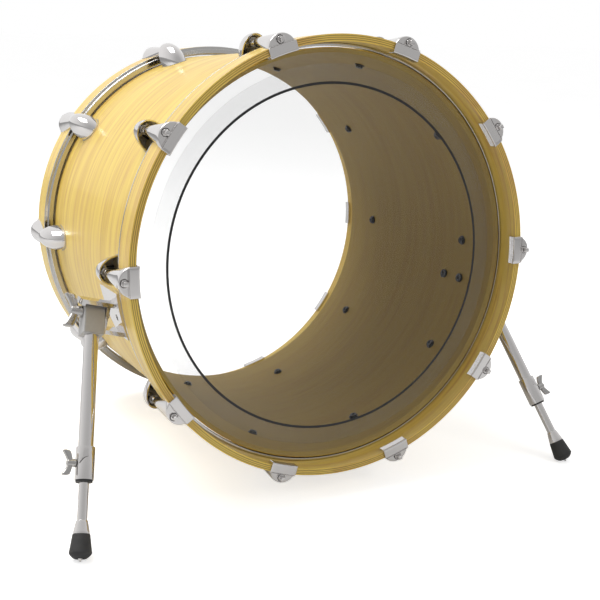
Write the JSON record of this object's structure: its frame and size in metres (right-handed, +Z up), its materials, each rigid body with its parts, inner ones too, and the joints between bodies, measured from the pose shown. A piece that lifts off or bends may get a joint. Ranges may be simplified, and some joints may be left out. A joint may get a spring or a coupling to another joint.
{
  "type": "bass drum",
  "caption": "Kit bass drum on two folding telescopic spurs, with wood hoops, claws, key rods, domed lugs and clear heads.",
  "frame": {"origin": "on the floor, under the middle of the drum's box", "axes": "+X to the drum's right, +Y towards the rear (pedal) side, +Z up; the drum's own axis dips 4.1 degrees towards the rear"},
  "size_m": [0.7814, 0.5906, 0.6229],
  "materials": {
    "shell_wood": "clear satin lacquer over maple ply",
    "hoop_wood": "clear gloss lacquer over maple ply",
    "head_film": "clear polyester film",
    "damping_film": "hazy polyester film",
    "flesh_aluminium": "satin extruded aluminium",
    "gasket_black": "matt black",
    "bush_black": "black nylon",
    "foot_rubber": "matt black rubber",
    "fastener_steel": "zinc plated",
    "chrome_trim": "polished chrome"
  },
  "bodies": {
    "drum": {"shell": "shell_wood", "front_hoop": "hoop_wood", "rear_hoop": "hoop_wood", "front_head_film": "head_film", "rear_head_film": "head_film", "front_flesh_hoop": "flesh_aluminium", "rear_flesh_hoop": "flesh_aluminium", "front_damping_ring": "damping_film", "front_claws": "chrome_trim", "rear_claws": "chrome_trim", "rod_washers": "fastener_steel", "front_lugs": "chrome_trim", "rear_lugs": "chrome_trim", "lug_gaskets": "gasket_black", "swivel_nuts": "fastener_steel", "lug_screws": "fastener_steel", "lug_screw_washers": "fastener_steel", "left_bracket": "chrome_trim", "right_bracket": "chrome_trim", "bracket_gaskets": "gasket_black", "bracket_screws": "fastener_steel"},
    "front_rod_01": {"front_rod_01": "chrome_trim"},
    "front_rod_02": {"front_rod_02": "chrome_trim"},
    "front_rod_03": {"front_rod_03": "chrome_trim"},
    "front_rod_04": {"front_rod_04": "chrome_trim"},
    "front_rod_05": {"front_rod_05": "chrome_trim"},
    "front_rod_06": {"front_rod_06": "chrome_trim"},
    "front_rod_07": {"front_rod_07": "chrome_trim"},
    "front_rod_08": {"front_rod_08": "chrome_trim"},
    "front_rod_09": {"front_rod_09": "chrome_trim"},
    "front_rod_10": {"front_rod_10": "chrome_trim"},
    "rear_rod_01": {"rear_rod_01": "chrome_trim"},
    "rear_rod_02": {"rear_rod_02": "chrome_trim"},
    "rear_rod_03": {"rear_rod_03": "chrome_trim"},
    "rear_rod_04": {"rear_rod_04": "chrome_trim"},
    "rear_rod_05": {"rear_rod_05": "chrome_trim"},
    "rear_rod_06": {"rear_rod_06": "chrome_trim"},
    "rear_rod_07": {"rear_rod_07": "chrome_trim"},
    "rear_rod_08": {"rear_rod_08": "chrome_trim"},
    "rear_rod_09": {"rear_rod_09": "chrome_trim"},
    "rear_rod_10": {"rear_rod_10": "chrome_trim"},
    "left_leg": {"left_clamp_block": "chrome_trim", "left_leg_tube": "chrome_trim", "left_leg_collar": "chrome_trim", "left_leg_bush": "bush_black"},
    "left_inner_leg": {"left_leg_rod": "chrome_trim"},
    "left_foot": {"left_foot_ferrule": "chrome_trim", "left_rubber_foot": "foot_rubber"},
    "left_pivot_wing": {"left_pivot_wing_screw": "chrome_trim"},
    "left_lock_wing": {"left_lock_wing_screw": "chrome_trim"},
    "right_leg": {"right_clamp_block": "chrome_trim", "right_leg_tube": "chrome_trim", "right_leg_collar": "chrome_trim", "right_leg_bush": "bush_black"},
    "right_inner_leg": {"right_leg_rod": "chrome_trim"},
    "right_foot": {"right_foot_ferrule": "chrome_trim", "right_rubber_foot": "foot_rubber"},
    "right_pivot_wing": {"right_pivot_wing_screw": "chrome_trim"},
    "right_lock_wing": {"right_lock_wing_screw": "chrome_trim"}
  },
  "joints": [
    {"name": "front_rod_01_turn", "type": "hinge", "parent": "drum", "child": "front_rod_01", "pos_m": [0.0927, -0.16985, 0.61081], "axis": [0, 0.9974, -0.0715], "continuous": true},
    {"name": "front_rod_02_turn", "type": "hinge", "parent": "drum", "child": "front_rod_02", "pos_m": [0.24271, -0.17764, 0.5021], "axis": [0, 0.9974, -0.0715], "continuous": true},
    {"name": "front_rod_03_turn", "type": "hinge", "parent": "drum", "child": "front_rod_03", "pos_m": [0.3, -0.19025, 0.32622], "axis": [0, 0.9974, -0.0715], "continuous": true},
    {"name": "front_rod_04_turn", "type": "hinge", "parent": "drum", "child": "front_rod_04", "pos_m": [0.24271, -0.20286, 0.15033], "axis": [0, 0.9974, -0.0715], "continuous": true},
    {"name": "front_rod_05_turn", "type": "hinge", "parent": "drum", "child": "front_rod_05", "pos_m": [0.0927, -0.21065, 0.04163], "axis": [0, 0.9974, -0.0715], "continuous": true},
    {"name": "front_rod_06_turn", "type": "hinge", "parent": "drum", "child": "front_rod_06", "pos_m": [-0.0927, -0.21065, 0.04163], "axis": [0, 0.9974, -0.0715], "continuous": true},
    {"name": "front_rod_07_turn", "type": "hinge", "parent": "drum", "child": "front_rod_07", "pos_m": [-0.24271, -0.20286, 0.15033], "axis": [0, 0.9974, -0.0715], "continuous": true},
    {"name": "front_rod_08_turn", "type": "hinge", "parent": "drum", "child": "front_rod_08", "pos_m": [-0.3, -0.19025, 0.32622], "axis": [0, 0.9974, -0.0715], "continuous": true},
    {"name": "front_rod_09_turn", "type": "hinge", "parent": "drum", "child": "front_rod_09", "pos_m": [-0.24271, -0.17764, 0.5021], "axis": [0, 0.9974, -0.0715], "continuous": true},
    {"name": "front_rod_10_turn", "type": "hinge", "parent": "drum", "child": "front_rod_10", "pos_m": [-0.0927, -0.16985, 0.61081], "axis": [0, 0.9974, -0.0715], "continuous": true},
    {"name": "rear_rod_01_turn", "type": "hinge", "parent": "drum", "child": "rear_rod_01", "pos_m": [0.0927, 0.24568, 0.58102], "axis": [0, -0.9974, 0.0715], "continuous": true},
    {"name": "rear_rod_02_turn", "type": "hinge", "parent": "drum", "child": "rear_rod_02", "pos_m": [0.24271, 0.23789, 0.47232], "axis": [0, -0.9974, 0.0715], "continuous": true},
    {"name": "rear_rod_03_turn", "type": "hinge", "parent": "drum", "child": "rear_rod_03", "pos_m": [0.3, 0.22528, 0.29643], "axis": [0, -0.9974, 0.0715], "continuous": true},
    {"name": "rear_rod_04_turn", "type": "hinge", "parent": "drum", "child": "rear_rod_04", "pos_m": [0.24271, 0.21267, 0.12055], "axis": [0, -0.9974, 0.0715], "continuous": true},
    {"name": "rear_rod_05_turn", "type": "hinge", "parent": "drum", "child": "rear_rod_05", "pos_m": [0.0927, 0.20488, 0.01185], "axis": [0, -0.9974, 0.0715], "continuous": true},
    {"name": "rear_rod_06_turn", "type": "hinge", "parent": "drum", "child": "rear_rod_06", "pos_m": [-0.0927, 0.20488, 0.01185], "axis": [0, -0.9974, 0.0715], "continuous": true},
    {"name": "rear_rod_07_turn", "type": "hinge", "parent": "drum", "child": "rear_rod_07", "pos_m": [-0.24271, 0.21267, 0.12055], "axis": [0, -0.9974, 0.0715], "continuous": true},
    {"name": "rear_rod_08_turn", "type": "hinge", "parent": "drum", "child": "rear_rod_08", "pos_m": [-0.3, 0.22528, 0.29643], "axis": [0, -0.9974, 0.0715], "continuous": true},
    {"name": "rear_rod_09_turn", "type": "hinge", "parent": "drum", "child": "rear_rod_09", "pos_m": [-0.24271, 0.23789, 0.47232], "axis": [0, -0.9974, 0.0715], "continuous": true},
    {"name": "rear_rod_10_turn", "type": "hinge", "parent": "drum", "child": "rear_rod_10", "pos_m": [-0.0927, 0.24568, 0.58102], "axis": [0, -0.9974, 0.0715], "continuous": true},
    {"name": "left_leg_fold", "type": "hinge", "parent": "drum", "child": "left_leg", "pos_m": [-0.30861, -0.11213, 0.25936], "axis": [0.9677, -0.018, -0.2514], "range_deg": [-15, 119]},
    {"name": "left_leg_extend", "type": "slide", "parent": "left_leg", "child": "left_inner_leg", "axis": [-0.2196, -0.5499, -0.8058], "range_m": [-0.036, 0.11]},
    {"name": "left_foot_travel", "type": "slide", "parent": "left_inner_leg", "child": "left_foot", "axis": [0.2196, 0.5499, 0.8058], "range_m": [0, 0.008]},
    {"name": "left_pivot_wing_turn", "type": "hinge", "parent": "drum", "child": "left_pivot_wing", "pos_m": [-0.30861, -0.11213, 0.25936], "axis": [-0.9677, 0.018, 0.2514], "range_deg": [0, 360]},
    {"name": "left_lock_wing_turn", "type": "hinge", "parent": "left_leg", "child": "left_lock_wing", "pos_m": [-0.35249, -0.22201, 0.09835], "axis": [-0.9677, 0.018, 0.2514], "range_deg": [0, 360]},
    {"name": "right_leg_fold", "type": "hinge", "parent": "drum", "child": "right_leg", "pos_m": [0.30861, -0.11213, 0.25936], "axis": [0.9677, 0.018, 0.2514], "range_deg": [-15, 119]},
    {"name": "right_leg_extend", "type": "slide", "parent": "right_leg", "child": "right_inner_leg", "axis": [0.2196, -0.5499, -0.8058], "range_m": [-0.036, 0.11]},
    {"name": "right_foot_travel", "type": "slide", "parent": "right_inner_leg", "child": "right_foot", "axis": [-0.2196, 0.5499, 0.8058], "range_m": [0, 0.008]},
    {"name": "right_pivot_wing_turn", "type": "hinge", "parent": "drum", "child": "right_pivot_wing", "pos_m": [0.30861, -0.11213, 0.25936], "axis": [-0.9677, -0.018, -0.2514], "range_deg": [0, 360]},
    {"name": "right_lock_wing_turn", "type": "hinge", "parent": "right_leg", "child": "right_lock_wing", "pos_m": [0.35249, -0.22201, 0.09835], "axis": [-0.9677, -0.018, -0.2514], "range_deg": [0, 360]}
  ]
}
